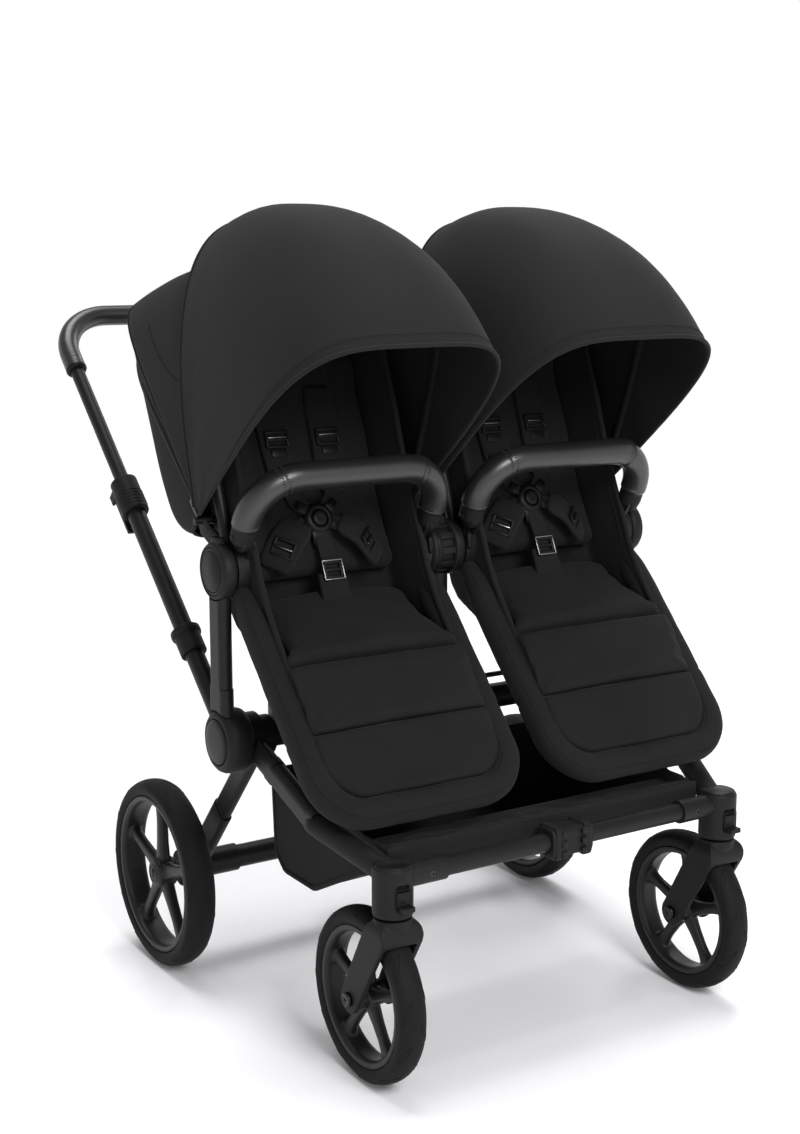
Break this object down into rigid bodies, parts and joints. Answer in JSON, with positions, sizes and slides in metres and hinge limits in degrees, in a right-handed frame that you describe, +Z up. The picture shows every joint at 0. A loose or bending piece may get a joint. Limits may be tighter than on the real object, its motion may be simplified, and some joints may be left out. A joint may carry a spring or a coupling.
{
  "type": "side by side double stroller",
  "caption": "Side by side double stroller: folding chassis on casters and rear wheels, reclining bucket seats with canopies, harnesses and bumper bars, sliding push bar and cargo basket.",
  "frame": {"origin": "on the floor under the middle of the whole object's box", "axes": "+Z up, -Y the way of travel, +X to the right seen from the front"},
  "size_m": [0.74, 1.0124, 1.1534],
  "materials": {
    "frame_black": "satin black coated tube",
    "moulded_black": "fine grained moulding",
    "cap_black": "smooth half gloss moulding",
    "rim_black": "satin moulded spokes",
    "tyre": "matt solid rubber with fine tread",
    "canopy_fabric": "fine matt woven cloth",
    "seat_fabric": "padded woven cloth with seams",
    "basket_fabric": "coated basket cloth",
    "webbing": "ribbed webbing",
    "leather_black": "grained satin leather with stitching",
    "dark_steel": "dark plated steel"
  },
  "bodies": {
    "chassis": {"front_legs": "frame_black", "front_corners": "moulded_black", "front_crossbar": "frame_black", "crossbar_clasp": "moulded_black", "lower_hubs": "moulded_black", "lower_hub_caps": "cap_black", "uprights": "frame_black", "side_seat_hubs": "moulded_black", "centre_post": "frame_black", "centre_hub": "moulded_black", "cross_tube": "frame_black", "brace_rod": "dark_steel", "handle_sleeves": "frame_black", "handle_clamps": "moulded_black", "basket": "basket_fabric", "screws": "dark_steel"},
    "rear_frame": {"rear_legs": "frame_black", "rear_axle": "frame_black"},
    "brake": {"brake_pedal": "moulded_black"},
    "handle": {"handlebar": "frame_black", "handle_grip": "leather_black"},
    "fold_slider": {"fold_sliders": "moulded_black"},
    "rear_wheel_left": {"rear_rim_left": "rim_black", "rear_tyre_left": "tyre"},
    "caster_left": {"fork_left": "moulded_black", "front_axle_left": "dark_steel"},
    "front_wheel_left": {"front_rim_left": "rim_black", "front_tyre_left": "tyre"},
    "swivel_lock_left": {"swivel_lock_left": "moulded_black"},
    "clamp_lever_left": {"clamp_lever_left": "moulded_black"},
    "seat_left": {"seat_frame_left": "frame_black", "leg_cover_left": "seat_fabric", "seat_bucket_left": "seat_fabric", "seat_pad_left": "seat_fabric", "back_pad_left": "seat_fabric", "canopy_rear_left": "canopy_fabric", "harness_left": "webbing", "buckle_left": "moulded_black"},
    "canopy_left": {"canopy_front_left": "canopy_fabric"},
    "bumper_left": {"bumper_bar_left": "leather_black"},
    "buckle_button_left": {"buckle_button_left": "cap_black"},
    "rear_wheel_right": {"rear_rim_right": "rim_black", "rear_tyre_right": "tyre"},
    "caster_right": {"fork_right": "moulded_black", "front_axle_right": "dark_steel"},
    "front_wheel_right": {"front_rim_right": "rim_black", "front_tyre_right": "tyre"},
    "swivel_lock_right": {"swivel_lock_right": "moulded_black"},
    "clamp_lever_right": {"clamp_lever_right": "moulded_black"},
    "seat_right": {"seat_frame_right": "frame_black", "leg_cover_right": "seat_fabric", "seat_bucket_right": "seat_fabric", "seat_pad_right": "seat_fabric", "back_pad_right": "seat_fabric", "canopy_rear_right": "canopy_fabric", "harness_right": "webbing", "buckle_right": "moulded_black"},
    "canopy_right": {"canopy_front_right": "canopy_fabric"},
    "bumper_right": {"bumper_bar_right": "leather_black"},
    "buckle_button_right": {"buckle_button_right": "cap_black"}
  },
  "joints": [
    {"name": "rear_fold", "type": "hinge", "parent": "chassis", "child": "rear_frame", "pos_m": [0, -0.1232, 0.413], "axis": [-1, 0, 0], "range_deg": [0, 50]},
    {"name": "brake_press", "type": "hinge", "parent": "rear_frame", "child": "brake", "pos_m": [0, 0.1108, 0.1445], "axis": [-1, 0, 0], "range_deg": [0, 20]},
    {"name": "handle_slide", "type": "slide", "parent": "chassis", "child": "handle", "axis": [0, 0.7331, 0.6801], "range_m": [-0.09, 0.05]},
    {"name": "fold_slider_pull", "type": "slide", "parent": "chassis", "child": "fold_slider", "axis": [0, 0.7331, 0.6801], "range_m": [0, 0.014], "stiffness_N_per_m": 150},
    {"name": "rear_spin_left", "type": "hinge", "parent": "rear_frame", "child": "rear_wheel_left", "pos_m": [-0.347, 0.1108, 0.1445], "axis": [1, 0, 0], "continuous": true},
    {"name": "swivel_left", "type": "hinge", "parent": "chassis", "child": "caster_left", "pos_m": [-0.279, -0.4462, 0.251], "axis": [0, 0, 1], "continuous": true},
    {"name": "front_spin_left", "type": "hinge", "parent": "caster_left", "child": "front_wheel_left", "pos_m": [-0.279, -0.3872, 0.119], "axis": [1, 0, 0], "continuous": true},
    {"name": "swivel_lock_lift_left", "type": "slide", "parent": "chassis", "child": "swivel_lock_left", "axis": [0, 0, 1], "range_m": [0, 0.008]},
    {"name": "clamp_flip_left", "type": "hinge", "parent": "chassis", "child": "clamp_lever_left", "pos_m": [-0.345, 0.23963, 0.71002], "axis": [1, 0, 0], "range_deg": [0, 90]},
    {"name": "recline_left", "type": "hinge", "parent": "chassis", "child": "seat_left", "pos_m": [-0.188, -0.1232, 0.656], "axis": [1, 0, 0], "range_deg": [-18, 0]},
    {"name": "canopy_fold_left", "type": "hinge", "parent": "seat_left", "child": "canopy_left", "pos_m": [-0.188, -0.0682, 0.718], "axis": [-1, 0, 0], "range_deg": [0, 50], "deforming": ["canopy_rear_left"]},
    {"name": "bumper_swing_left", "type": "hinge", "parent": "seat_left", "child": "bumper_left", "pos_m": [-0.188, -0.1592, 0.703], "axis": [1, 0, 0], "range_deg": [0, 70]},
    {"name": "buckle_press_left", "type": "slide", "parent": "seat_left", "child": "buckle_button_left", "axis": [0, 0.9285, -0.3714], "range_m": [0, 0.003], "stiffness_N_per_m": 400},
    {"name": "rear_spin_right", "type": "hinge", "parent": "rear_frame", "child": "rear_wheel_right", "pos_m": [0.347, 0.1108, 0.1445], "axis": [1, 0, 0], "continuous": true},
    {"name": "swivel_right", "type": "hinge", "parent": "chassis", "child": "caster_right", "pos_m": [0.279, -0.4462, 0.251], "axis": [0, 0, 1], "continuous": true},
    {"name": "front_spin_right", "type": "hinge", "parent": "caster_right", "child": "front_wheel_right", "pos_m": [0.279, -0.3872, 0.119], "axis": [1, 0, 0], "continuous": true},
    {"name": "swivel_lock_lift_right", "type": "slide", "parent": "chassis", "child": "swivel_lock_right", "axis": [0, 0, 1], "range_m": [0, 0.008]},
    {"name": "clamp_flip_right", "type": "hinge", "parent": "chassis", "child": "clamp_lever_right", "pos_m": [0.345, 0.23963, 0.71002], "axis": [1, 0, 0], "range_deg": [0, 90]},
    {"name": "recline_right", "type": "hinge", "parent": "chassis", "child": "seat_right", "pos_m": [0.188, -0.1232, 0.656], "axis": [1, 0, 0], "range_deg": [-18, 0]},
    {"name": "canopy_fold_right", "type": "hinge", "parent": "seat_right", "child": "canopy_right", "pos_m": [0.188, -0.0682, 0.718], "axis": [-1, 0, 0], "range_deg": [0, 50], "deforming": ["canopy_rear_right"]},
    {"name": "bumper_swing_right", "type": "hinge", "parent": "seat_right", "child": "bumper_right", "pos_m": [0.188, -0.1592, 0.703], "axis": [1, 0, 0], "range_deg": [0, 70]},
    {"name": "buckle_press_right", "type": "slide", "parent": "seat_right", "child": "buckle_button_right", "axis": [0, 0.9285, -0.3714], "range_m": [0, 0.003], "stiffness_N_per_m": 400}
  ]
}
